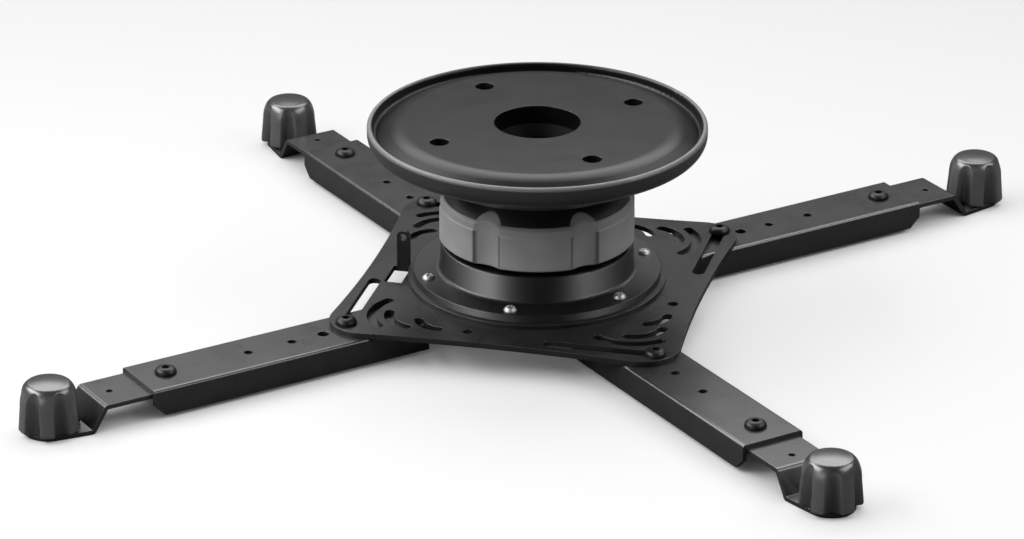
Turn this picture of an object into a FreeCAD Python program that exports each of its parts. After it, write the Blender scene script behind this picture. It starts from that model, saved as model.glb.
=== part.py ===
# Ceiling mount for a projector.
# A round dish bolts to the ceiling and hangs a hollow ball. A fluted collar clamps the ball in a cup on
# a flanged pedestal, which is screwed to a slotted square plate. Four channel arms are bolted under the
# corners of the plate. A joggled tongue slides in each arm and carries a fluted knob over the foot.
# The Z axis is the axis of the dish and the pedestal, and Z = 0 is the underside of the feet.

import FreeCAD
import Part
import math
import os

os.makedirs("parts", exist_ok=True)

# Driving dimensions, in millimetres and degrees

# Fits
running_gap = 0.3
hole_gap = 0.3
thread_gap = 0.05

# Ceiling dish
dish_radius = 75.0
dish_face_lift = 40.5
rim_wall = 2.4
rim_drop = 0.5
rim_cove = 1.2
pad_radius = 62.5
pad_thickness = 4.0
pad_round = 12.0
pad_slope = 30.0
skirt_radius = 49.5
skirt_drop = 21.5
skirt_wall = 3.0
bowl_slope = 27.0
bowl_round = 7.0
hollow_reach = 3.0
boss_wall = 7.0
boss_height = 13.5
ceiling_bolt_circle = 97.5
ceiling_bolt_hole = 8.5
ceiling_bolt_count = 4
dish_turn = 42.5

# Ball stem
stem_bore = 31.0
neck_radius = 18.0
spigot_radius = 19.0
spigot_length = 5.5
stem_recess = 8.0
mouth_width = 2.4
mouth_depth = 5.0

# Ball liner and seat cup
liner_wall = 1.5
liner_top_angle = -8.0
liner_low_angle = -54.0
cup_wall = 2.65
cup_drop = 2.0
seat_dip = 4.1

# Locking collar
collar_radius = 43.75
collar_rise = 6.0
collar_lift = 2.2
collar_edge = 1.3
grip_wall = 7.4
band_height = 3.2
band_inset = 0.5
shoulder_step = 2.2
shoulder_run = 6.5
shoulder_rise = 7.0
lip_overlap = 3.5
lip_land = 1.1
lip_width = 1.5
seat_gap = 0.4
ledge_thickness = 3.6
ledge_width = 6.5
flute_count = 6
flute_depth = 2.6
flute_radius = 14.4
arch_depth = 6.25
arch_radius = 7.5
flute_turn = 12.5

# Pedestal with its flange
pedestal_inset = 0.45
pedestal_taper = 0.6
pedestal_height = 13.2
pedestal_edge = 1.0
flare_radius = 1.5
flange_margin = 5.0
flange_thickness = 3.5
thread_end_gap = 0.8
thread_wall = 3.0
pedestal_floor = 5.8
cable_hole = 40.0
relief_width = 3.0
relief_roof = 4.0

# Ring under the flange and its screws
ring_margin = 2.5
ring_thickness = 1.8
screw_count = 6
screw_margin = 6.7
screw_radius = 2.0
screw_head_radius = 3.0
screw_head_height = 1.8
screw_turn = 30.0

# Adapter plate
plate_half = 80.0
plate_hollow = 4.6
plate_corner = 16.5
plate_thickness = 2.5
corner_bolt_radius = 97.5
bolt_slot_length = 47.0
fan_x = 40.0
fan_y = 53.0
long_arc_radius = 21.0
short_arc_radius = 13.5
inner_arc_x = 28.5
inner_arc_y = 54.5
inner_arc_radius = 11.0
arc_slot_width = 4.4
plate_hole = 4.8
plate_hole_x = 15.0
plate_hole_y = 65.0
hook_x = -60.8
hook_y = -3.5
hook_width = 5.8
hook_height = 17.0
hook_hole = 3.2
window_margin = 1.1

# Arm channels
arm_top = 13.9
channel_width = 30.0
channel_height = 12.0
channel_wall = 2.0
channel_bend = 1.6
channel_clip = 5.0
arm_inner_reach = 33.0
hole_pitch = 11.5
arm_holes_out = (1, 0, 1, 0)
clamp_reach = 88.5
clamp_margin = 13.0
small_hole = 4.0
small_hole_steps = (40.0, 61.5)

# Arm bolts, clamp screws and their nuts
bolt_radius = 2.5
bolt_head_radius = 4.75
bolt_head_height = 2.8
socket_across = 3.2
socket_depth = 1.6
nut_across = 8.0
nut_height = 4.0

# Arm tongues
tongue_thickness = 2.0
foot_reach = 55.5
joggle_run = 6.5
joggle_bend = 0.4
tab_reach = 13.9
tab_radius = 10.5
tongue_tail = 8.0
slide_out = 50.0
slide_in = 8.0
tongue_hole = 3.0
tongue_hole_reach = 27.0

# Foot knobs and their inserts
knob_radius = 13.5
knob_height = 21.4
knob_taper = 1.0
knob_wall_height = 13.2
knob_bulge = 0.95
knob_top_radius = 9.4
knob_dome = 0.8
knob_flutes = 6
knob_flute_radius = 4.4
knob_flute_depth = 3.2
insert_radius = 5.0
insert_height = 14.0
insert_flange = 6.5
insert_shank = 4.0
stud_thread_radius = 2.1

# Radii of the pieces inside the collar, from its grip inwards to the ball
collar_bore = collar_radius - grip_wall
thread_radius = collar_bore - running_gap
thread_inner = thread_radius - thread_wall
cup_radius = thread_inner - running_gap
cup_seat_radius = cup_radius - cup_wall
liner_radius = cup_seat_radius - running_gap
ball_radius = liner_radius - liner_wall - running_gap
lip_radius = ball_radius - lip_overlap

# Radii of the pieces below the collar, outwards from the pedestal's wall
pedestal_radius = collar_radius - pedestal_inset
screw_circle = 2 * (pedestal_radius + screw_margin)
flange_radius = screw_circle / 2 + flange_margin
ring_radius = flange_radius + ring_margin

# Heights up the axis, from the feet
plate_low = arm_top
plate_top = plate_low + plate_thickness
ring_top = plate_top + ring_thickness
flange_top = ring_top + flange_thickness
pedestal_top = flange_top + pedestal_height
floor_top = ring_top + pedestal_floor
ball_z = floor_top + cup_seat_radius - seat_dip
dish_face = ball_z + dish_face_lift
collar_low = pedestal_top + collar_lift
collar_top = ball_z + collar_rise
collar_crown = collar_top + collar_edge
collar_roof = collar_crown - ledge_thickness
thread_top = collar_roof - thread_end_gap

# Heights and lengths of an arm
web_low = arm_top - channel_wall
tongue_low = web_low - tongue_thickness
tongue_width = channel_width - 2 * channel_wall - 2 * running_gap
clamp_radius = corner_bolt_radius + clamp_reach
foot_radius = clamp_radius + foot_reach
knob_low = tongue_thickness + running_gap


def point(x, y, z=0.0):
    return FreeCAD.Vector(x, y, z)


def profile(*steps):
    """Closed face in the XZ plane. A step is a point (r, z) reached by a straight line, or a pair of
    points for an arc that passes the first and ends at the second."""
    edges = []
    here = point(steps[0][0], 0, steps[0][1])
    first = here
    for step in steps[1:] + (steps[0],):
        if isinstance(step[0], tuple):
            middle, end = [point(r, 0, z) for r, z in step]
            edges.append(Part.Arc(here, middle, end).toShape())
        else:
            end = point(step[0], 0, step[1])
            edges.append(Part.LineSegment(here, end).toShape())
        here = end
    assert here.isEqual(first, 1e-9)
    return Part.Face(Part.Wire(edges))


def turned(*steps):
    """Solid of revolution about Z of a closed (r, z) profile."""
    return profile(*steps).revolve(point(0, 0), point(0, 0, 1), 360)


def cylinder(radius, low, high, x=0.0, y=0.0):
    return Part.makeCylinder(radius, high - low, point(x, y, low))


def block(x0, x1, y0, y1, z0, z1):
    return Part.makeBox(x1 - x0, y1 - y0, z1 - z0, point(x0, y0, z0))


def spun(shape, angle):
    """Copy of a shape turned about Z."""
    copy = shape.copy()
    copy.rotate(point(0, 0), point(0, 0, 1), angle)
    return copy


def ring_of(shape, count, first=0.0):
    """Copies of a shape spaced evenly round Z."""
    return [spun(shape, first + 360.0 * i / count) for i in range(count)]


def moved(shape, x, y=0.0, z=0.0):
    copy = shape.copy()
    copy.translate(point(x, y, z))
    return copy


def straight_slot(x0, y0, x1, y1, width, low, high):
    """Round-ended slot between two centres."""
    length = math.hypot(x1 - x0, y1 - y0)
    bar = block(0, length, -width / 2, width / 2, low, high)
    bar = bar.fuse([cylinder(width / 2, low, high), cylinder(width / 2, low, high, length)])
    bar = bar.removeSplitter()
    bar = spun(bar, math.degrees(math.atan2(y1 - y0, x1 - x0)))
    return moved(bar, x0, y0)


def arc_slot(x, y, radius, start, end, width, low, high):
    """Round-ended slot along an arc about (x, y)."""
    band = profile(
        (radius - width / 2, low),
        (radius + width / 2, low),
        (radius + width / 2, high),
        (radius - width / 2, high),
    )
    band = spun(band, start).revolve(point(0, 0), point(0, 0, 1), end - start)
    ends = [spun(cylinder(width / 2, low, high, radius), angle) for angle in (start, end)]
    return moved(band.fuse(ends).removeSplitter(), x, y)


def hexagon(across, low, high, x=0.0):
    """Hexagonal prism given its width across the flats."""
    corner = across / math.sqrt(3)
    corners = [point(x + corner * math.cos(math.radians(60 * i)),
                     corner * math.sin(math.radians(60 * i)), low) for i in range(6)]
    wire = Part.makePolygon(corners + corners[:1])
    return Part.Face(wire).extrude(point(0, 0, high - low))


def sphere_height(radius, r):
    """Height above its centre of a sphere's surface at distance r from the axis."""
    return math.sqrt(radius * radius - r * r)


def save(node, solids):
    """Write one node, checked to be whole solids."""
    for solid in solids:
        assert solid.isValid() and solid.Volume > 0, node
    shape = solids[0] if len(solids) == 1 else Part.makeCompound(solids)
    shape.exportStep("parts/" + node + ".step")


def tangent_arc(before, corner, after, radius):
    """Round of a radius at the corner between two straight runs of a profile: where it starts, and the
    arc step from there to where it ends."""
    into = (point(*corner) - point(*before)).normalize()
    out = (point(*after) - point(*corner)).normalize()
    turn = into.getAngle(out)
    cut = radius * math.tan(turn / 2)
    start = point(*corner) - into * cut
    end = point(*corner) + out * cut
    inward = (out - into).normalize()
    middle = point(*corner) + inward * radius * (1 / math.cos(turn / 2) - 1)
    return (start.x, start.y), ((middle.x, middle.y), (end.x, end.y))


# Ceiling dish: a hollow casting whose flat pad slopes away at its edge to a beaded rim, over a bowl
# that narrows to a skirt
def ceiling_dish():
    rim_top = dish_face - rim_drop
    rim_inner = dish_radius - rim_wall
    bead = rim_wall / 2
    skirt_low = dish_face - skirt_drop
    skirt_inner = skirt_radius - skirt_wall
    bowl_rise = math.tan(math.radians(bowl_slope))
    pad_fall = math.tan(math.radians(pad_slope))
    pad_low = dish_face - pad_thickness
    hollow_radius = pad_radius + hollow_reach
    boss_radius = spigot_radius + boss_wall
    boss_low = dish_face - boss_height

    def on_bowl(r):
        return r, skirt_low + (r - skirt_radius) * bowl_rise

    def in_bowl(r):
        return r, on_bowl(r)[1] + skirt_wall / math.cos(math.radians(bowl_slope))

    def on_slope(r, top):
        return r, top - (r - pad_radius) * pad_fall

    bowl_start, bowl_arc = tangent_arc((skirt_radius, skirt_low), on_bowl(dish_radius),
                                       (dish_radius, rim_top), bowl_round)
    cove_start, cove_arc = tangent_arc((rim_inner, rim_top), on_slope(rim_inner, dish_face),
                                       (pad_radius, dish_face), rim_cove)
    pad_start, pad_arc = tangent_arc(on_slope(rim_inner, dish_face), (pad_radius, dish_face),
                                     (spigot_radius, dish_face), pad_round)
    body = turned(
        (spigot_radius, dish_face),
        (spigot_radius, boss_low),
        (boss_radius, boss_low),
        (boss_radius, pad_low),
        (pad_radius, pad_low),
        on_slope(hollow_radius, pad_low),
        in_bowl(hollow_radius),
        in_bowl(skirt_inner),
        (skirt_inner, skirt_low),
        (skirt_radius, skirt_low),
        bowl_start,
        bowl_arc,
        (dish_radius, rim_top - bead),
        ((dish_radius - bead, rim_top), (rim_inner, rim_top - bead)),
        cove_start,
        cove_arc,
        pad_start,
        pad_arc,
    )
    hole = cylinder(ceiling_bolt_hole / 2, pad_low - pad_thickness, dish_face + pad_thickness,
                    ceiling_bolt_circle / 2)
    return body.cut(ring_of(hole, ceiling_bolt_count, dish_turn))


# Ball stem: a hollow ball, a neck and a threaded spigot that screws up into the dish's boss
def ball_stem():
    bore = stem_bore / 2
    top = dish_face - stem_recess
    shoulder = top - spigot_length
    return turned(
        (bore, ball_z - sphere_height(ball_radius, bore)),
        ((ball_radius, ball_z), (neck_radius, ball_z + sphere_height(ball_radius, neck_radius))),
        (neck_radius, shoulder),
        (spigot_radius - thread_gap, shoulder),
        (spigot_radius - thread_gap, top),
        (bore + mouth_width, top),
        (bore, top - mouth_depth),
    )


# Ball liner: a thin nylon shell between the ball and the seat cup, on which the ball slides
def ball_liner():
    inner = liner_radius - liner_wall
    middle = (liner_top_angle + liner_low_angle) / 2

    def on_shell(radius, angle):
        turn = math.radians(angle)
        return radius * math.cos(turn), ball_z + radius * math.sin(turn)

    return turned(
        on_shell(inner, liner_top_angle),
        (on_shell(inner, middle), on_shell(inner, liner_low_angle)),
        on_shell(liner_radius, liner_low_angle),
        (on_shell(liner_radius, middle), on_shell(liner_radius, liner_top_angle)),
    )


# Seat cup: a turned cup with a spherical seat, free to pan inside the pedestal's threaded spigot
def seat_cup():
    low = floor_top
    high = ball_z - cup_drop
    low_r = math.sqrt(cup_seat_radius ** 2 - (ball_z - low) ** 2)
    high_r = math.sqrt(cup_seat_radius ** 2 - (ball_z - high) ** 2)
    middle = math.radians(-45)
    on_seat = (cup_seat_radius * math.cos(middle), ball_z + cup_seat_radius * math.sin(middle))
    return turned(
        (high_r, high),
        (on_seat, (low_r, low)),
        (cup_radius, low),
        (cup_radius, high),
    )


# Locking collar: a grey grip ring with shallow finger flutes, moulded round a black shoulder that holds
# the ball. Above each flute the grip runs up the shoulder's slope in an arched tongue.
def collar_pieces():
    seat = ball_radius + seat_gap
    lip_low = ball_z + sphere_height(seat, lip_radius)
    lip_top = lip_low + lip_land + lip_width
    seat_low_r = math.sqrt(seat ** 2 - (collar_roof - ball_z) ** 2)
    seat_middle_r = (lip_radius + seat_low_r) / 2
    band_low = collar_top - band_height
    band_radius = collar_radius - band_inset
    step_r = collar_radius - shoulder_step
    ledge_radius = lip_radius + ledge_width
    envelope = turned(
        (collar_bore, collar_low),
        (collar_radius - collar_edge / 2, collar_low),
        (collar_radius, collar_low + collar_edge / 2),
        (collar_radius, band_low),
        (band_radius, band_low + band_inset),
        (band_radius, collar_top),
        (band_radius - collar_edge, collar_crown),
        (step_r, collar_crown),
        (step_r - shoulder_run, collar_crown + shoulder_rise),
        (lip_radius + lip_width, lip_top),
        (lip_radius, lip_top - lip_width),
        (lip_radius, lip_low),
        ((seat_middle_r, ball_z + sphere_height(seat, seat_middle_r)), (seat_low_r, collar_roof)),
        (collar_bore, collar_roof),
    )
    shoulder_zone = turned(
        (0, collar_roof),
        (ledge_radius, collar_roof),
        (ledge_radius, collar_crown),
        (step_r, collar_crown),
        (step_r, lip_top + lip_width),
        (0, lip_top + lip_width),
    )
    low = collar_low - collar_edge
    high = lip_top + lip_width
    flute = cylinder(flute_radius, low, high, collar_radius - flute_depth + flute_radius)
    arch = cylinder(arch_radius, low, high, collar_radius - arch_depth + arch_radius)
    shoulder = envelope.common(shoulder_zone).cut(ring_of(arch, flute_count, flute_turn))
    grip = envelope.cut(shoulder).cut(ring_of(flute, flute_count, flute_turn))
    return grip, shoulder


# Pedestal: a casting with a screwed-down flange, a near-upright wall and a threaded spigot round the cup
def base_flange():
    wall_foot = (pedestal_radius, flange_top)
    wall_head = (pedestal_radius - pedestal_taper, pedestal_top)
    flare_start, flare_arc = tangent_arc((flange_radius, flange_top), wall_foot, wall_head, flare_radius)
    edge_start, edge_arc = tangent_arc(wall_foot, wall_head, (thread_radius, pedestal_top), pedestal_edge)
    body = turned(
        (cable_hole / 2, ring_top),
        (flange_radius, ring_top),
        (flange_radius, flange_top),
        flare_start,
        flare_arc,
        edge_start,
        edge_arc,
        (thread_radius, pedestal_top),
        (thread_radius, thread_top),
        (thread_inner, thread_top),
        (thread_inner, floor_top),
        (cable_hole / 2, floor_top),
    )
    relief = turned(
        (thread_radius, ring_top),
        (thread_radius + relief_width, ring_top),
        (thread_radius + relief_width, pedestal_top - relief_roof),
        (thread_radius, pedestal_top - relief_roof),
    )
    hole = cylinder(screw_radius + hole_gap, ring_top, flange_top, screw_circle / 2)
    return body.cut([relief] + ring_of(hole, screw_count, screw_turn))


def flange_ring():
    body = cylinder(ring_radius, plate_top, ring_top).cut(cylinder(cable_hole / 2, plate_top, ring_top))
    hole = cylinder(screw_radius + hole_gap, plate_top, ring_top, screw_circle / 2)
    return body.cut(ring_of(hole, screw_count, screw_turn))


def flange_screws():
    """Pan-head screws through the flange and the ring into the plate's threads."""
    head = flange_top + screw_head_height
    screw = turned(
        (0, plate_low),
        (screw_radius, plate_low),
        (screw_radius, flange_top),
        (screw_head_radius, flange_top),
        (screw_head_radius, head - screw_head_height / 2),
        (screw_head_radius / 2, head),
        (0, head),
    )
    return ring_of(moved(screw, screw_circle / 2), screw_count, screw_turn)


# Adapter plate: a square with hollow sides, slotted the same way at each corner, and one bent-up hook
def adapter_plate():
    low = plate_low
    high = plate_top
    bolt_at = corner_bolt_radius / math.sqrt(2)
    bolt_slot_width = 2 * (bolt_radius + running_gap)
    sides = []
    for i in range(4):
        corner, hollow, following = [spun(Part.Vertex(*p), 90 * i).Point for p in (
            (plate_half, -plate_half, low),
            (plate_half - plate_hollow, 0, low),
            (plate_half, plate_half, low))]
        sides.append(Part.Arc(corner, hollow, following).toShape())
    plate = Part.Face(Part.Wire(sides)).extrude(point(0, 0, high - low))
    uprights = [edge for edge in plate.Edges if abs(edge.tangentAt(edge.FirstParameter).z) > 0.99]
    plate = plate.makeFillet(plate_corner, uprights)
    corner_cuts = [
        straight_slot(bolt_at, bolt_at - bolt_slot_length, bolt_at, bolt_at, bolt_slot_width, low, high),
        arc_slot(fan_x, fan_y, long_arc_radius, -35, 46, arc_slot_width, low, high),
        arc_slot(fan_x, fan_y, short_arc_radius, 0, 80, arc_slot_width, low, high),
        arc_slot(inner_arc_x, inner_arc_y, inner_arc_radius, 20, 90, arc_slot_width, low, high),
        cylinder(plate_hole / 2, low, high, plate_hole_x, plate_hole_y),
    ]
    cuts = [copy for cut in corner_cuts for copy in ring_of(cut, 4)]
    cuts += ring_of(cylinder(screw_radius + thread_gap, low, high, screw_circle / 2), screw_count, screw_turn)
    cuts.append(cylinder(cable_hole / 2, low, high))
    window_half = hook_width / 2 + window_margin
    cuts.append(block(hook_x - window_half, hook_x + window_half,
                      hook_y - hook_height - window_margin, hook_y, low, high))
    hook = block(hook_x - hook_width / 2, hook_x + hook_width / 2,
                 hook_y, hook_y + plate_thickness, high, high + hook_height)
    crown = [edge for edge in hook.Edges
             if edge.CenterOfMass.z > high + hook_height - 1e-6 and edge.Length < plate_thickness + 1e-6]
    hook = hook.makeFillet(hook_width * 0.45, crown)
    eye = Part.makeCylinder(hook_hole / 2, plate_thickness,
                            point(hook_x, hook_y, high + hook_height - hook_width / 2), point(0, 1, 0))
    return plate.cut(cuts).fuse(hook.cut(eye)).removeSplitter()


# Arms: everything is made along +X, with the plate's corner bolt at corner_bolt_radius, then turned
def button_screw(x, seat, low):
    """Button-head screw with a hexagon socket, its head on seat and its end at low."""
    top = seat + bolt_head_height
    screw = turned(
        (0, low),
        (bolt_radius, low),
        (bolt_radius, seat),
        (bolt_head_radius, seat),
        (bolt_head_radius, seat + bolt_head_height / 3),
        (bolt_head_radius * 0.6, top),
        (0, top),
    )
    return moved(screw.cut(hexagon(socket_across, top - socket_depth, top)), x)


def hex_nut(x, high):
    nut = hexagon(nut_across, high - nut_height, high, x)
    return nut.cut(cylinder(bolt_radius + thread_gap, high - nut_height, high, x))


def arm_channel():
    """Folded channel, open below, with a clipped lower corner at each outer wall end."""
    start = corner_bolt_radius - arm_inner_reach
    end = clamp_radius + clamp_margin
    low = arm_top - channel_height
    half = channel_width / 2
    bar = block(start, end, -half, half, low, arm_top)
    ridges = [edge for edge in bar.Edges
              if edge.CenterOfMass.z > arm_top - 1e-6 and abs(edge.CenterOfMass.y) > half - 1e-6]
    bar = bar.makeFillet(channel_bend, ridges)
    bar = bar.cut(block(start, end, channel_wall - half, half - channel_wall, low, web_low))
    clip = Part.Face(Part.makePolygon([
        point(end - channel_clip, -half, low),
        point(end, -half, low),
        point(end, -half, low + channel_clip),
        point(end - channel_clip, -half, low)])).extrude(point(0, channel_width, 0))
    bolt_hole = bolt_radius + thread_gap
    holes = [cylinder(bolt_hole, web_low, arm_top, corner_bolt_radius + step * hole_pitch)
             for step in (0, 1)]
    holes.append(cylinder(bolt_hole, web_low, arm_top, clamp_radius))
    holes += [cylinder(small_hole / 2, web_low, arm_top, clamp_radius - step) for step in small_hole_steps]
    return bar.cut([clip] + holes)


def arm_tongue():
    """Flat bar that slides in the channel and joggles down to a tab that tapers to the knob's foot."""
    half = tongue_width / 2
    tail = clamp_radius - slide_out - tongue_tail
    tip = foot_radius + tab_radius
    joggle_end = foot_radius - tab_reach
    joggle_start = joggle_end - joggle_run
    drop = web_low - tongue_thickness
    shift = tongue_thickness * math.tan(math.atan2(drop, joggle_run) / 2)
    side = profile(
        (tail, web_low),
        (joggle_start, web_low),
        (joggle_end, tongue_thickness),
        (tip, tongue_thickness),
        (tip, 0),
        (joggle_end - shift, 0),
        (joggle_start - shift, tongue_low),
        (tail, tongue_low),
    )
    bar = moved(side, 0, -half).extrude(point(0, 2 * half, 0))
    across = [edge for edge in bar.Edges
              if abs(edge.CenterOfMass.y) < 1e-6 and edge.Length > tongue_width - 1e-6]

    def bends(x, z):
        return [edge for edge in across
                if math.hypot(edge.CenterOfMass.x - x, edge.CenterOfMass.z - z) < 1e-6]

    inner = bends(joggle_end, tongue_thickness) + bends(joggle_start - shift, tongue_low)
    outer = bends(joggle_start, web_low) + bends(joggle_end - shift, 0)
    bar = bar.makeFillet(joggle_bend, inner)
    outer = [edge for edge in bar.Edges for old in outer
             if edge.CenterOfMass.isEqual(old.CenterOfMass, 1e-6)]
    bar = bar.makeFillet(joggle_bend + tongue_thickness, outer)
    taper = math.atan2(half, -tab_reach) - math.acos(tab_radius / math.hypot(tab_reach, half))
    touch = point(foot_radius + tab_radius * math.cos(taper), tab_radius * math.sin(taper))
    near = [point(tail, -half), point(joggle_end, -half), point(touch.x, -touch.y)]
    far = [touch, point(joggle_end, half), point(tail, half)]
    outline = Part.Wire([
        Part.makePolygon(near),
        Part.Arc(near[-1], point(tip, 0), far[0]).toShape(),
        Part.makePolygon(far + near[:1]),
    ])
    bar = bar.common(Part.Face(outline).extrude(point(0, 0, web_low)))
    slot = straight_slot(clamp_radius - slide_out, 0, clamp_radius + slide_in, 0,
                         2 * (bolt_radius + running_gap), tongue_low, web_low)
    return bar.cut([
        slot,
        cylinder(tongue_hole / 2, tongue_low, web_low, clamp_radius + tongue_hole_reach),
        cylinder(insert_shank + running_gap, 0, tongue_thickness, foot_radius),
    ])


def foot_knob():
    """Thumb knob with a rounded shoulder, a low dome and finger flutes that arch over at the shoulder."""
    top = knob_low + knob_height
    foot = point(knob_radius - knob_taper, knob_low + knob_wall_height)
    head = point(knob_top_radius, top - knob_dome)
    run = head - foot
    bulge = point(run.y, -run.x).normalize() * knob_bulge
    shoulder = (foot + head) * 0.5 + bulge
    dome_radius = (knob_top_radius ** 2 + knob_dome ** 2) / (2 * knob_dome)
    dome_r = knob_top_radius / 2
    dome_middle = (dome_r, top - dome_radius + sphere_height(dome_radius, dome_r))
    body = turned(
        (0, knob_low),
        (knob_radius, knob_low),
        (foot.x, foot.y),
        ((shoulder.x, shoulder.y), (head.x, head.y)),
        (dome_middle, (0, top)),
    )
    axis = knob_radius - knob_flute_depth + knob_flute_radius
    flute = cylinder(knob_flute_radius, knob_low, top, axis)
    pocket = cylinder(insert_radius + thread_gap, knob_low, knob_low + insert_height)
    recess = cylinder(insert_flange + thread_gap, knob_low, knob_low + insert_radius - insert_shank)
    knob = body.cut(ring_of(flute, knob_flutes, 360.0 / knob_flutes / 2))
    return moved(knob.cut([pocket, recess]), foot_radius)


def knob_insert():
    """Turned bush moulded into the knob, threaded for the projector's stud and guided by the tab."""
    flange_high = knob_low + insert_radius - insert_shank
    high = knob_low + insert_height
    bush = turned(
        (stud_thread_radius, 0),
        (insert_shank, 0),
        (insert_shank, tongue_thickness),
        (insert_flange, tongue_thickness),
        (insert_flange, flange_high),
        (insert_radius, flange_high),
        (insert_radius, high),
        (0, high),
        (0, high - insert_radius + insert_shank),
        (stud_thread_radius, high - insert_radius + insert_shank),
    )
    return moved(bush, foot_radius)


save("ceiling_dish", [ceiling_dish()])
save("ball_stem", [ball_stem()])
save("ball_liner", [ball_liner()])
save("seat_cup", [seat_cup()])
grip_ring, shoulder_ring = collar_pieces()
save("locking_collar", [grip_ring])
save("collar_shoulder", [shoulder_ring])
save("base_flange", [base_flange()])
save("flange_ring", [flange_ring()])
save("flange_screws", flange_screws())
save("adapter_plate", [adapter_plate()])

# Each arm is bolted through one of two holes, so opposite arms reach one hole pitch further out
arm_bolt = button_screw(corner_bolt_radius, plate_top, web_low - nut_height)
arm_nut = hex_nut(corner_bolt_radius, web_low)
riding = {
    "arm_channel": arm_channel(),
    "clamp_screw": button_screw(clamp_radius, arm_top, tongue_low - nut_height),
    "clamp_nut": hex_nut(clamp_radius, tongue_low),
    "arm_tongue": arm_tongue(),
    "foot_knob": foot_knob(),
    "knob_insert": knob_insert(),
}
for arm, holes_out in enumerate(arm_holes_out):
    direction = 45 + 90 * arm
    number = str(arm + 1)
    save("arm_bolt_" + number, [spun(arm_bolt, direction)])
    save("arm_nut_" + number, [spun(arm_nut, direction)])
    for name, shape in riding.items():
        save(name + "_" + number, [spun(moved(shape, (holes_out - 1) * hole_pitch), direction)])
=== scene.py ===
import math

import bpy
import numpy as np
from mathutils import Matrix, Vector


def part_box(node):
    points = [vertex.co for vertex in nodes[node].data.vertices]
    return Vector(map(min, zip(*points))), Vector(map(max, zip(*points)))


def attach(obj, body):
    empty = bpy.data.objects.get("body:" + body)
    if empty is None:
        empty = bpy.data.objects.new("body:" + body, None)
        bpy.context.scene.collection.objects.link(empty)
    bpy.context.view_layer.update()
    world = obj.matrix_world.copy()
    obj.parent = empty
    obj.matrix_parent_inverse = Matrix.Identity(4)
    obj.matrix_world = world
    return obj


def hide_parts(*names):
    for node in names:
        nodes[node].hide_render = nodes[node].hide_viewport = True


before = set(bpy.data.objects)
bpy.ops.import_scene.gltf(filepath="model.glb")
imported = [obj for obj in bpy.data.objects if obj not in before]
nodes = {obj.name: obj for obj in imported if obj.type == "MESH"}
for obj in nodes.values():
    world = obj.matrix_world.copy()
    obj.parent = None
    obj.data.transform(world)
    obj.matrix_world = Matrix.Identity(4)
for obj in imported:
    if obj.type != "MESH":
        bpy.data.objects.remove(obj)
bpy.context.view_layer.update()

# Adapter plate: a slotted square of 2.5 mm sheet steel with a bent-up hook for a safety cable.
# It is cut, folded once and powder coated black, so its skin has a fine orange-peel grain
# and the coat thins to a paler line along the cut edges.


class Shade:
    """One output socket of a material's node tree. Arithmetic on it adds Math nodes to the tree."""

    def __init__(self, tree, socket=None):
        self.tree = tree
        self.socket = socket

    def node(self, kind, settings=None, inputs=None, output=0):
        """A new node: its settings first, then the values or links of its sockets, and one output of it."""
        made = self.tree.nodes.new(kind)
        for name, value in (settings or {}).items():
            setattr(made, name, value)
        for name, value in (inputs or {}).items():
            if isinstance(value, Shade):
                self.tree.links.new(value.socket, made.inputs[name])
            else:
                made.inputs[name].default_value = value
        return Shade(self.tree, made.outputs[output])

    def math(self, operation, first, second):
        """A Math node on two values or sockets."""
        return self.node("ShaderNodeMath", {"operation": operation}, {0: first, 1: second})

    def __add__(self, other):
        return self.math("ADD", self, other)

    def __sub__(self, other):
        return self.math("SUBTRACT", self, other)

    def __rsub__(self, other):
        return self.math("SUBTRACT", other, self)

    def __mul__(self, other):
        return self.math("MULTIPLY", self, other)

    __radd__ = __add__
    __rmul__ = __mul__

    def clamped(self, low, high):
        """0 at or below low, 1 at or above high, with a smooth step between."""
        settings = {"interpolation_type": "SMOOTHSTEP"}
        return self.node("ShaderNodeMapRange", settings, {"Value": self, "From Min": low, "From Max": high})

    def mix(self, first, second):
        """Colour that goes from first to second as this value goes from 0 to 1."""
        settings = {"data_type": "RGBA"}
        return self.node("ShaderNodeMix", settings, {"Factor": self, "A": first, "B": second}, "Result")


EDGE_SAMPLES = 6
EDGE_SPAN = (0.80, 0.995)
EDGE_SHARE = 0.6
CLOUD_SCALE = 90.0
CLOUD_SPAN = (0.3, 0.7)
CLOUD_ROUGH = 0.08
GRAIN_ROUGH = 0.06


def grey(level, cool=1.02):
    """A grey, very slightly cool unless told otherwise."""
    return level, level, level * cool, 1.0


def own_place(tools):
    """Where a spot lies in its piece's own coordinates, in metres."""
    return tools.node("ShaderNodeTexCoord", output="Object")


def dot(tools, first, second):
    """Dot product of two vectors or sockets."""
    return tools.node("ShaderNodeVectorMath", {"operation": "DOT_PRODUCT"}, {0: first, 1: second}, "Value")


def height_of(tools):
    """How high a spot lies in its piece's own coordinates."""
    return tools.node("ShaderNodeSeparateXYZ", {}, {"Vector": own_place(tools)}, "Z")


def noise(tools, scale, detail=3.0, stretch=(1.0, 1.0, 1.0)):
    """Noise over the piece's own coordinates, scale waves to the metre."""
    place = tools.node("ShaderNodeVectorMath", {"operation": "MULTIPLY"}, {0: own_place(tools), 1: stretch})
    return tools.node("ShaderNodeTexNoise", {}, {"Vector": place, "Scale": scale, "Detail": detail})


def finish(name, metallic=0.0, specular=0.5):
    """A material with a bare Principled shader: the shader's inputs, and tools to make what feeds them."""
    material = bpy.data.materials.new(name)
    material.use_nodes = True
    shader = material.node_tree.nodes["Principled BSDF"]
    shader.inputs["Metallic"].default_value = metallic
    shader.inputs["Specular IOR Level"].default_value = specular
    return material, shader.inputs, Shade(material.node_tree)


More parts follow.
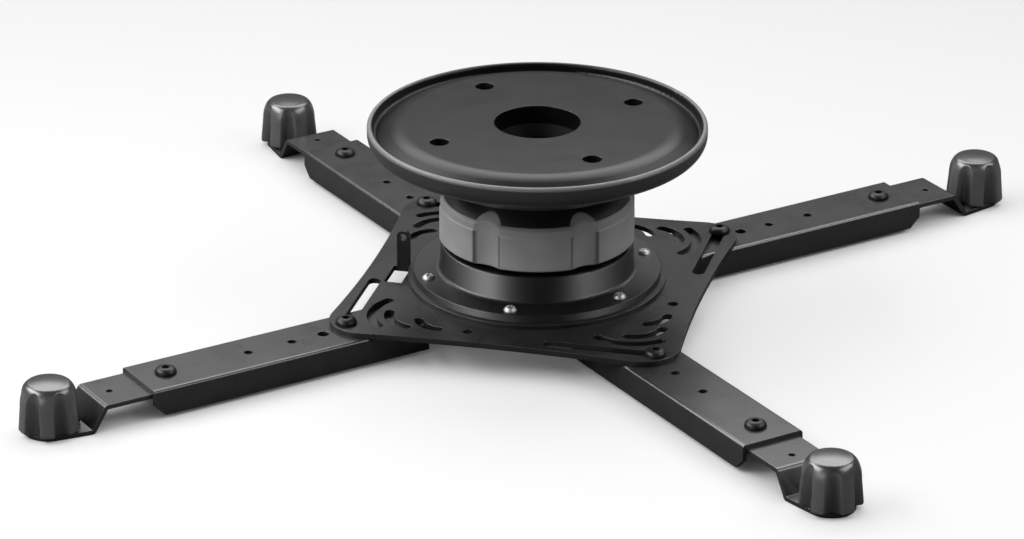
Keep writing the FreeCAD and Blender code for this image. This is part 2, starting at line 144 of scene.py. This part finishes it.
def feed(tools, inputs, **links):
    """Link values to a shader's inputs, named with underscores for spaces."""
    for name, value in links.items():
        tools.tree.links.new(value.socket, inputs[name.replace("_", " ")])


def round_edges(tools, radius):
    """The normal with edges rounded over a radius."""
    return tools.node("ShaderNodeBevel", {"samples": EDGE_SAMPLES}, {"Radius": radius})


def coat(name, dark, pale, edge, rough, grain_scale, grain_depth, edge_radius, specular=0.5, marks=None,
         draft=0.0):
    """Paint, powder coat or moulded plastic: a cloudy grey, a grained skin, paler edges and, if given, what
    marks(tools, colour) makes of that colour. Upright walls are shaded as if they leaned in by a draft."""
    material, inputs, tools = finish(name, specular=specular)
    rounded = round_edges(tools, edge_radius)
    flat = tools.node("ShaderNodeNewGeometry", output="Normal")
    edges = 1.0 - dot(tools, rounded, flat).clamped(*EDGE_SPAN)
    cloud = noise(tools, CLOUD_SCALE)
    grain = noise(tools, grain_scale, 2.0)
    colour = cloud.clamped(*CLOUD_SPAN).mix(grey(dark), grey(pale))
    colour = (edges * EDGE_SHARE).mix(colour, grey(edge))
    if marks:
        colour = marks(tools, colour)
    relief = grain * grain_depth
    if draft:
        relief = relief - height_of(tools) * draft
    bump = tools.node("ShaderNodeBump", {}, {"Strength": 1.0, "Distance": 1.0,
                                             "Height": relief, "Normal": rounded})
    gloss = rough + cloud * CLOUD_ROUGH + grain * GRAIN_ROUGH
    feed(tools, inputs, Base_Color=colour, Roughness=gloss, Normal=bump)
    return material


def wear(node, material):
    """Give a CAD node its finish."""
    slots = nodes[node].data.materials
    slots.clear()
    slots.append(material)


plate_coat = coat("plate_coat", dark=0.010, pale=0.013, edge=0.06, rough=0.22, grain_scale=1500.0,
                  grain_depth=0.6e-5, edge_radius=4.0e-4, specular=0.60)
wear("adapter_plate", plate_coat)

# Ring under the flange: a thin steel disc that spreads the pedestal's load on the plate.
# It is powder coated like the plate that it lies on, and the flange screws hold it down.

wear("flange_ring", plate_coat)

# Pedestal: a cast cup with a near-upright wall and a flange, in semi-gloss black paint.
# Its six screws go down through the ring into the plate.

pedestal_black = coat("pedestal_black", dark=0.003, pale=0.004, edge=0.02, rough=0.30, grain_scale=900.0,
                      grain_depth=0.6e-5, edge_radius=5.0e-4, specular=0.55, draft=0.55)
wear("base_flange", pedestal_black)

# Flange screws: six zinc-plated pan-head screws that pull the flange and its ring to the plate.
# Each is a turned shape whose domed head has a cross recess pressed into it.

METAL_EDGE = 2.5e-4
STREAK_STRETCH = (1.0, 1.0, 6.0)
STREAK_SPAN = (0.25, 0.75)
STREAK_DARK = 0.72
STREAK_ROUGH = 0.12
SMOOTH_ANGLE = math.radians(40.0)
FULL_TURN = 2.0 * math.pi
SCREW_COUNT = 6
SCREW_CIRCLE = 0.050
SCREW_FIRST = math.radians(30.0)
SCREW_SHANK = 0.002
SCREW_SHORT = 3.0e-4
SCREW_HEAD = 0.003
SCREW_RISE = 0.0018
RECESS_HALF = 0.00042
RECESS_REACH = 0.0019
RECESS_DEPTH = 0.0012
RECESS_SOFT = 1.0e-4


def metal(name, colour, rough, streak_scale, metallic=1.0):
    """Bare or plated metal: a turned grain in the colour and in the gloss."""
    material, inputs, tools = finish(name, metallic=metallic)
    streaks = noise(tools, streak_scale, 4.0, STREAK_STRETCH)
    darker = tuple(c * STREAK_DARK for c in colour)
    shade = streaks.clamped(*STREAK_SPAN).mix((*darker, 1.0), (*colour, 1.0))
    bump = tools.node("ShaderNodeBump", {}, {"Strength": 0.4, "Distance": 1.0e-5, "Height": streaks,
                                             "Normal": round_edges(tools, METAL_EDGE)})
    feed(tools, inputs, Base_Color=shade, Roughness=rough + streaks * STREAK_ROUGH, Normal=bump)
    return material


def turn_mesh(rings):
    """Vertices and faces of a closed skin over rings (rows, columns, 3) that run up an axis, each ring
    anticlockwise seen from above. A middle point closes the first ring and the last."""
    rows, columns = rings.shape[:2]
    here = np.arange(rows * columns).reshape(rows, columns)
    beside = np.roll(here, -1, axis=1)
    walls = np.stack([here[:-1], beside[:-1], beside[1:], here[1:]], axis=-1).reshape(-1, 4)
    low = np.full(columns, rows * columns)
    ends = np.concatenate([np.stack([low, beside[0], here[0]], axis=-1),
                           np.stack([low + 1, here[-1], beside[-1]], axis=-1)])
    points = np.concatenate([rings.reshape(-1, 3), rings[[0, -1]].mean(axis=1)])
    return points, walls, ends


def piece(name, skins, material, body, node, hollow=None):
    """A mesh made of closed skins that stands for a CAD node and rides its body. Each point may carry how
    far it lies in a hollow, from 0 to 1."""
    points, faces, count = [], [], 0
    for skin_points, walls, ends in skins:
        points.append(skin_points)
        faces += (walls + count).tolist() + (ends + count).tolist()
        count += len(skin_points)
    mesh = bpy.data.meshes.new(name)
    mesh.from_pydata(np.concatenate(points).tolist(), [], faces)
    mesh.shade_smooth()
    mesh.set_sharp_from_angle(angle=SMOOTH_ANGLE)
    mesh.materials.append(material)
    if hollow is not None:
        mesh.attributes.new("hollow", "FLOAT", "POINT").data.foreach_set("value", hollow)
    made = bpy.data.objects.new(name, mesh)
    bpy.context.scene.collection.objects.link(made)
    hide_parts(node)
    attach(made, body)


def pan_screw(x, y, low, seat):
    """Rings of a pan-head screw: a shank of radius R_s, a head z = seat + H (1 - (r / R_h)^4), and a cross
    recess of depth D sqrt(1 - r / R_c) along both arms |u| < w or |v| < w of the head's own axes u, v."""
    turn = np.linspace(0.0, FULL_TURN, 96, endpoint=False)
    across = np.linspace(1.0, 0.02, 40)[:, None] * SCREW_HEAD
    u = across * np.cos(turn)
    v = across * np.sin(turn)
    off_arm = np.minimum(np.abs(u), np.abs(v))
    recess = np.clip((RECESS_HALF - off_arm) / RECESS_SOFT, 0.0, 1.0)
    recess = recess * np.clip(1.0 - across / RECESS_REACH, 0.0, 1.0)
    top = seat + SCREW_RISE * (1.0 - (across / SCREW_HEAD) ** 4) - RECESS_DEPTH * np.sqrt(recess)
    shank_r = np.array([SCREW_SHANK, SCREW_SHANK, SCREW_HEAD])[:, None]
    shank_z = np.array([low, seat, seat])[:, None]
    shank = np.stack([shank_r * np.cos(turn), shank_r * np.sin(turn), shank_z + 0.0 * turn], axis=-1)
    rings = np.concatenate([shank, np.stack([u, v, top], axis=-1)])
    return rings + (x, y, 0.0)


zinc_steel = metal("zinc_steel", (0.52, 0.52, 0.51), rough=0.46, streak_scale=700.0)
wear("flange_screws", zinc_steel)
screw_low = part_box("flange_screws")[0][2] + SCREW_SHORT
flange_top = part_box("flange_screws")[1][2] - SCREW_RISE
screw_turns = SCREW_FIRST + np.arange(SCREW_COUNT) * FULL_TURN / SCREW_COUNT
screw_skins = [turn_mesh(pan_screw(SCREW_CIRCLE * math.cos(turn), SCREW_CIRCLE * math.sin(turn),
                                   screw_low, flange_top)) for turn in screw_turns]
piece("pan_screws", screw_skins, zinc_steel, body="adapter", node="flange_screws")

# Seat cup and ball liner: a turned cup inside the pedestal and the thin shell that the ball slides on,
# both of natural nylon. Neither shows once the collar is down.

nylon = coat("nylon", dark=0.50, pale=0.57, edge=0.62, rough=0.42, grain_scale=500.0,
             grain_depth=1.0e-5, edge_radius=3.0e-4)
wear("ball_liner", nylon)
wear("seat_cup", nylon)

# Ball stem: a hollow cast ball with a neck, anodised a dull black.
# It is screwed up into the dish, and the cables run through it.

bare_cast = coat("bare_cast", dark=0.002, pale=0.003, edge=0.008, rough=0.62, grain_scale=600.0,
                 grain_depth=1.0e-5, edge_radius=4.0e-4, specular=0.12)
wear("ball_stem", bare_cast)

# Locking collar: a grey moulded grip ring with finger flutes, and the black shoulder that traps the ball.
# It screws down over the pedestal. The edges of the flutes are darkened with painted shade.

COLLAR_RADIUS = 0.04375
COLLAR_WALL = 0.0155
COLLAR_FADE = 3.0e-4
# Grey and spans of the painted shade along the flute edges.
COLLAR_SHADE = 0.03
SHADE_RISE = (1.0e-4, 4.0e-4)
SHADE_FALL = (6.0e-4, 1.6e-3)
SHADE_SHARE = 0.7
wall_top = min(corner[2] for corner in nodes["locking_collar"].bound_box) + COLLAR_WALL


def from_axis(tools):
    """How far a spot lies from the mount's upright axis."""
    flat = {0: own_place(tools), 1: (1.0, 1.0, 0.0)}
    level = tools.node("ShaderNodeVectorMath", {"operation": "MULTIPLY"}, flat)
    return tools.node("ShaderNodeVectorMath", {"operation": "LENGTH"}, {0: level}, "Value")


def collar_flute_shade(tools, colour):
    """Painted shade along both edges of each flute, below the collar's upper band."""
    depth = COLLAR_RADIUS - from_axis(tools)
    line = depth.clamped(*SHADE_RISE) * (1.0 - depth.clamped(*SHADE_FALL))
    line = line * (1.0 - height_of(tools).clamped(wall_top, wall_top + COLLAR_FADE))
    # Painted shade: the flute edges are mixed towards a near-black grey.
    return (line * SHADE_SHARE).mix(colour, grey(COLLAR_SHADE))


collar_grey = coat("collar_grey", dark=0.250, pale=0.280, edge=0.33, rough=0.34, grain_scale=700.0,
                   grain_depth=0.8e-5, edge_radius=1.0e-3, marks=collar_flute_shade)
shoulder_black = coat("shoulder_black", dark=0.007, pale=0.010, edge=0.03, rough=0.36, grain_scale=700.0,
                      grain_depth=1.2e-5, edge_radius=5.0e-4)
wear("locking_collar", collar_grey)
wear("collar_shoulder", shoulder_black)

# Ceiling dish: a die-cast dish whose flat bolting pad slopes away to a beaded rim, in satin black paint.
# The near side of the bead carries a painted highlight, the bowl under the rim is painted a paler grey, and
# the cable hole is painted near black as shade. It is screwed to the ball stem.

DISH_RIM = 0.0726
DISH_HOLE = 0.019
BEAD_SPAN = (DISH_RIM + 1.0e-4, DISH_RIM + 8.0e-4)
# Grey of the painted highlight on the near side of the bead.
BEAD_HIGHLIGHT = 0.15
OUTER_SPAN = (DISH_RIM + 2.0e-4, DISH_RIM + 8.0e-4)
# Paler grey of the bowl under the rim.
BOWL_PALE = 0.032
HOLE_SPAN = (DISH_HOLE + 1.0e-4, DISH_HOLE + 5.0e-4)
# Near black of the painted shade inside the cable hole.
HOLE_SHADE = 0.002
AWAY_FROM_CAMERA = (-0.236, 0.972, 0.0)
BACK_SPAN = (0.015, 0.065)
dish_face = max(corner[2] for corner in nodes["ceiling_dish"].bound_box)
bead_rise = (dish_face - 2.6e-3, dish_face - 1.6e-3)
bowl_rise = (dish_face - 6.8e-3, dish_face - 6.2e-3)


def dish_highlight_and_shade(tools, colour):
    """A painted highlight along the near side of the rim's bead, a paler grey on the bowl under the rim, and
    painted shade inside the cable hole."""
    radius = from_axis(tools)
    height = height_of(tools)
    bead = radius.clamped(*BEAD_SPAN) * height.clamped(*bead_rise)
    bead = bead * (1.0 - dot(tools, own_place(tools), AWAY_FROM_CAMERA).clamped(*BACK_SPAN))
    outer = radius.clamped(*OUTER_SPAN)
    bowl = 1.0 - (1.0 - outer) * height.clamped(*bowl_rise)
    # Painted highlight: the bead is paler only on the side that faces the camera.
    colour = bead.mix(bowl.mix(colour, grey(BOWL_PALE)), grey(BEAD_HIGHLIGHT))
    # Painted shade: the inside of the cable hole is coloured near black.
    hole_shade = 1.0 - radius.clamped(*HOLE_SPAN)
    return hole_shade.mix(colour, grey(HOLE_SHADE))


cast_black = coat("cast_black", dark=0.0045, pale=0.006, edge=0.025, rough=0.25, grain_scale=1100.0,
                  grain_depth=0.6e-5, edge_radius=8.0e-4, specular=0.26, marks=dish_highlight_and_shade)
wear("ceiling_dish", cast_black)

# Arm bolts and nuts: black button-head screws through the plate's corners into zinc hex nuts under the arms.
# Each screw is a turned shape with a domed head and a hexagon socket.

ARMS = (1, 2, 3, 4)
SHANK = 0.0025
HEAD_RADIUS = 0.00475
HEAD_RISE = 0.0028
HEAD_EDGE = 0.0004
SOCKET_MOUTH = 0.0021
SOCKET_ACROSS = 0.0032
SOCKET_DEPTH = 0.0016
SOCKET_FLOOR = 0.1


def button_screw(node):
    """Rings of a button-head screw in the box of its node: a shank, a head that is an arc of an ellipse,
    and a hexagon socket r = (a / 2) / cos(t mod 60 - 30) with a flat floor."""
    low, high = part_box(node)
    middle = (np.array(low) + np.array(high)) / 2.0
    top = high[2]
    seat = top - HEAD_RISE
    turn = np.linspace(0.0, FULL_TURN, 72, endpoint=False)
    dome = np.linspace(0.0, math.pi / 2.0, 14)
    dome_r = SOCKET_MOUTH + (HEAD_RADIUS - SOCKET_MOUTH) * np.cos(dome)
    dome_z = seat + HEAD_EDGE + (HEAD_RISE - HEAD_EDGE) * np.sin(dome)
    r = np.concatenate([[SHANK, SHANK, HEAD_RADIUS], dome_r])[:, None]
    z = np.concatenate([[low[2], seat, seat], dome_z])[:, None]
    socket_r = SOCKET_ACROSS / 2.0 / np.cos(np.mod(turn, math.pi / 3.0) - math.pi / 6.0)
    r = np.concatenate([r + 0.0 * turn, [socket_r, socket_r, socket_r * SOCKET_FLOOR]])
    z = np.concatenate([z, [[top], [top - SOCKET_DEPTH], [top - SOCKET_DEPTH]]])
    rings = np.stack([r * np.cos(turn), r * np.sin(turn), z + 0.0 * turn], axis=-1)
    return rings + (middle[0], middle[1], 0.0)


black_steel = metal("black_steel", (0.035, 0.035, 0.035), rough=0.36, streak_scale=900.0, metallic=0.85)
for arm in ARMS:
    wear(f"arm_bolt_{arm}", black_steel)
    wear(f"arm_nut_{arm}", zinc_steel)
    piece(f"corner_screw_{arm}", [turn_mesh(button_screw(f"arm_bolt_{arm}"))], black_steel,
          body=f"bolt_{arm}", node=f"arm_bolt_{arm}")

# Arm channels: folded sheet-steel channels, open below, powder coated a shade paler than the plate.
# Each is bolted under one corner of the plate.

arm_coat = coat("arm_coat", dark=0.016, pale=0.020, edge=0.05, rough=0.22, grain_scale=1500.0,
                grain_depth=0.5e-5, edge_radius=4.0e-4, specular=0.78)
for arm in ARMS:
    wear(f"arm_channel_{arm}", arm_coat)

# Clamp screws and nuts: the same button-head screws as at the plate's corners, with zinc nuts below.
# They lock each tongue in its channel.

for arm in ARMS:
    wear(f"clamp_screw_{arm}", black_steel)
    wear(f"clamp_nut_{arm}", zinc_steel)
    piece(f"lock_screw_{arm}", [turn_mesh(button_screw(f"clamp_screw_{arm}"))], black_steel,
          body=f"arm_{arm}", node=f"clamp_screw_{arm}")

# Arm tongues: flat steel bars, coated like the channels that they slide in.
# Each is joggled down to a rounded tab for its foot.

for arm in ARMS:
    wear(f"arm_tongue_{arm}", arm_coat)

# Foot knobs and inserts: moulded thumb knobs with soft finger flutes, each round a turned brass bush for the
# projector's stud. The flutes are darkened with painted shade, and the crown is painted darker as shade.

KNOB_RADIUS = 0.0135
KNOB_FOOT = 0.0009
KNOB_TAPER = 0.0010
KNOB_WALL = 0.0112
KNOB_CROWN = 0.0080
KNOB_DOME = 0.0008
FLUTE_PITCH = math.pi / 3.0
FLUTE_RADIUS = 0.0044
FLUTE_DEPTH = 0.0032
FLUTE_SOFT = 0.00012
# Grey, span and share of the painted shade in the flutes.
FLUTE_SHADE = 0.010
FLUTE_SHADE_SPAN = (0.1, 0.9)
FLUTE_SHADE_SHARE = 0.85
# Grey of the painted shade on the crown.
CROWN_SHADE = 0.022
knob_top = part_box("foot_knob_1")[1][2]
crown_rise = (knob_top - 4.0e-3, knob_top - 1.2e-3)


def knob_rings(node, direction):
    """Rings of a knob in the box of its node: r = smooth minimum of a turned outline R(z) and of six flute
    circles, r_f = D cos t - sqrt(F^2 - D^2 sin^2 t) about each flute's own axis at distance D."""
    low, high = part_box(node)
    middle = (np.array(low) + np.array(high)) / 2.0
    rise = high[2] - low[2]
    turn = np.linspace(0.0, FULL_TURN, 360, endpoint=False)
    bend = np.linspace(0.0, math.pi / 2.0, 9)
    foot_r = KNOB_RADIUS - KNOB_FOOT * (1.0 - np.sin(bend))
    foot_z = KNOB_FOOT * (1.0 - np.cos(bend))
    wall = np.linspace(0.0, 1.0, 14)[1:]
    wall_r = KNOB_RADIUS - KNOB_TAPER * wall
    wall_z = KNOB_FOOT + (KNOB_WALL - KNOB_FOOT) * wall
    arch = np.linspace(0.0, math.pi / 2.0, 26)[1:]
    shoulder_r = KNOB_CROWN + (wall_r[-1] - KNOB_CROWN) * np.cos(arch)
    shoulder_z = KNOB_WALL + (rise - KNOB_WALL - KNOB_DOME) * np.sin(arch)
    dome = np.linspace(1.0, 0.02, 12)[1:]
    dome_r = KNOB_CROWN * dome
    dome_z = rise - KNOB_DOME * dome ** 2
    outline = np.concatenate([foot_r, wall_r, shoulder_r, dome_r])[:, None]
    height = np.concatenate([foot_z, wall_z, shoulder_z, dome_z])[:, None]
    reach = KNOB_RADIUS - FLUTE_DEPTH + FLUTE_RADIUS
    off = np.mod(turn - direction, FLUTE_PITCH) - FLUTE_PITCH / 2.0
    square = FLUTE_RADIUS ** 2 - (reach * np.sin(off)) ** 2
    flute = reach * np.cos(off) - np.sign(square) * np.sqrt(np.abs(square))
    r = -FLUTE_SOFT * np.logaddexp(-outline / FLUTE_SOFT, -flute / FLUTE_SOFT)
    r = np.clip(r, 0.02 * outline, outline)
    rings = np.stack([r * np.cos(turn), r * np.sin(turn), height + low[2] + 0.0 * turn], axis=-1)
    return rings + (middle[0], middle[1], 0.0), (outline - r) / FLUTE_DEPTH


def knob_painted_shade(tools, colour):
    """Painted shade in the flutes, and a crown painted darker as shade."""
    hollow = tools.node("ShaderNodeAttribute", {"attribute_name": "hollow"}, output="Fac")
    flute_shade = hollow.clamped(*FLUTE_SHADE_SPAN) * FLUTE_SHADE_SHARE
    crown = height_of(tools).clamped(*crown_rise)
    # Painted shade: the flutes go towards near black and the crown towards a darker grey.
    return crown.mix(flute_shade.mix(colour, grey(FLUTE_SHADE)), grey(CROWN_SHADE))


knob_plastic = coat("knob_plastic", dark=0.068, pale=0.082, edge=0.095, rough=0.22, grain_scale=1000.0,
                    grain_depth=1.0e-5, edge_radius=7.0e-4, specular=1.00, marks=knob_painted_shade)
insert_brass = metal("insert_brass", (0.62, 0.45, 0.20), rough=0.25, streak_scale=800.0)
for arm in ARMS:
    wear(f"foot_knob_{arm}", knob_plastic)
    wear(f"knob_insert_{arm}", insert_brass)
    arm_direction = math.radians(45.0 + 90.0 * (arm - 1))
    rings, hollow = knob_rings(f"foot_knob_{arm}", arm_direction)
    piece(f"thumb_knob_{arm}", [turn_mesh(rings)], knob_plastic, body=f"knob_{arm}",
          node=f"foot_knob_{arm}", hollow=np.append(hollow.ravel(), (0.0, 0.0)))

# Floor: a wide sheet of white paper on which the mount stands, lit from behind so that it stays white.
# Away from the camera it greys a little, close under a piece it darkens with real shadow and with its glow
# faded as painted shade, and in reflections it is dim.

FLOOR_HALF = 6.0
FLOOR_CORNERS = [(-FLOOR_HALF, -FLOOR_HALF, 0.0), (FLOOR_HALF, -FLOOR_HALF, 0.0),
                 (FLOOR_HALF, FLOOR_HALF, 0.0), (-FLOOR_HALF, FLOOR_HALF, 0.0)]
FAR_SPAN = (-0.3, 0.75)
PAPER_NEAR = grey(0.59, 1.0)
PAPER_FAR = grey(0.38, 1.0)
PAPER_BOUNCE = grey(0.25, 1.0)
PAPER_MIRRORED = grey(0.09, 1.0)
GLOW_NEAR = grey(1.0, 1.0)
GLOW_FAR = grey(0.84, 1.0)
PAPER_LIFT = 0.55
CONTACT_REACH = 0.03
CONTACT_SPAN = (0.0, 0.9)
floor_mesh = bpy.data.meshes.new("floor")
floor_mesh.from_pydata(FLOOR_CORNERS, [], [(0, 1, 2, 3)])
floor = bpy.data.objects.new("floor", floor_mesh)
bpy.context.scene.collection.objects.link(floor)
floor_white, floor_inputs, floor_tools = finish("floor_white", specular=0.1)
floor_inputs["Roughness"].default_value = 0.8
seen = floor_tools.node("ShaderNodeLightPath", output="Is Camera Ray")
mirrored = floor_tools.node("ShaderNodeLightPath", output="Is Glossy Ray")
far = dot(floor_tools, own_place(floor_tools), AWAY_FROM_CAMERA).clamped(*FAR_SPAN)
dim_paper = mirrored.mix(PAPER_BOUNCE, PAPER_MIRRORED)
feed(floor_tools, floor_inputs, Base_Color=seen.mix(dim_paper, far.mix(PAPER_NEAR, PAPER_FAR)))
glow = floor_tools.node("ShaderNodeEmission", {}, {"Color": far.mix(GLOW_NEAR, GLOW_FAR), "Strength": 1.0})
open_sky = floor_tools.node("ShaderNodeAmbientOcclusion", {"samples": 8}, {"Distance": CONTACT_REACH}, "AO")
# Painted shade: the glow fades where a piece closes over the paper.
lift = seen * PAPER_LIFT * open_sky.clamped(*CONTACT_SPAN)
paper_nodes = floor_white.node_tree.nodes
plain_paper = Shade(floor_white.node_tree, paper_nodes["Principled BSDF"].outputs[0])
blend = floor_tools.node("ShaderNodeMixShader", {}, {0: lift, 1: plain_paper, 2: glow})
feed(floor_tools, paper_nodes["Material Output"].inputs, Surface=blend)
floor_mesh.materials.append(floor_white)

# Studio light: a room that is almost black on the camera's side and dim behind the mount. A wide soft box
# hangs over and behind it, a strong one to its left, a weak one to its right and a small one at front left.

ROOM_DARK = grey(0.02, 1.0)
ROOM_PALE = grey(0.16, 1.0)
ROOM_SPAN = (-0.2, 0.8)
MIDDLE = (0.0, 0.0, 0.05)
world = bpy.data.worlds.new("studio")
bpy.context.scene.world = world
world.use_nodes = True
room = Shade(world.node_tree)
look = room.node("ShaderNodeTexCoord", output="Generated")
walls = dot(room, look, AWAY_FROM_CAMERA).clamped(*ROOM_SPAN).mix(ROOM_DARK, ROOM_PALE)
feed(room, world.node_tree.nodes["Background"].inputs, Color=walls)


def soft_box(name, place, aim, width, height, power):
    """Rectangular area light at a place, turned to face the aim."""
    lamp = bpy.data.lights.new(name, "AREA")
    lamp.shape = "RECTANGLE"
    lamp.size = width
    lamp.size_y = height
    lamp.energy = power
    box = bpy.data.objects.new(name, lamp)
    bpy.context.scene.collection.objects.link(box)
    box.location = place
    box.rotation_euler = (Vector(aim) - Vector(place)).to_track_quat("-Z", "Y").to_euler()


soft_box("back_box", (-0.13, 0.54, 0.83), (0.02, -0.08, 0.05), width=1.2, height=0.7, power=12.0)
soft_box("left_box", (-1.05, -0.32, 0.95), MIDDLE, width=1.6, height=0.6, power=29.0)
soft_box("front_left_box", (-0.55, -1.1, 0.30), MIDDLE, width=0.8, height=0.4, power=2.2)
soft_box("right_box", (1.1, 0.08, 0.95), MIDDLE, width=1.4, height=0.6, power=12.0)

# Camera: a long lens at the photograph's height, looking down on the mount from its front right
# and a little past its axis.

CAMERA_DOWN = 23.72
CAMERA_TURN = 13.80
camera = bpy.data.cameras.new("camera")
camera.sensor_width = 36.0
camera.lens = 166.1
camera.clip_end = 50.0
eye = bpy.data.objects.new("camera", camera)
bpy.context.scene.collection.objects.link(eye)
eye.location = (0.4488, -1.8739, 0.8663)
eye.rotation_euler = (math.radians(90.0 - CAMERA_DOWN), 0.0, math.radians(CAMERA_TURN))
bpy.context.scene.camera = eye
bpy.context.scene.view_settings.view_transform = "Standard"
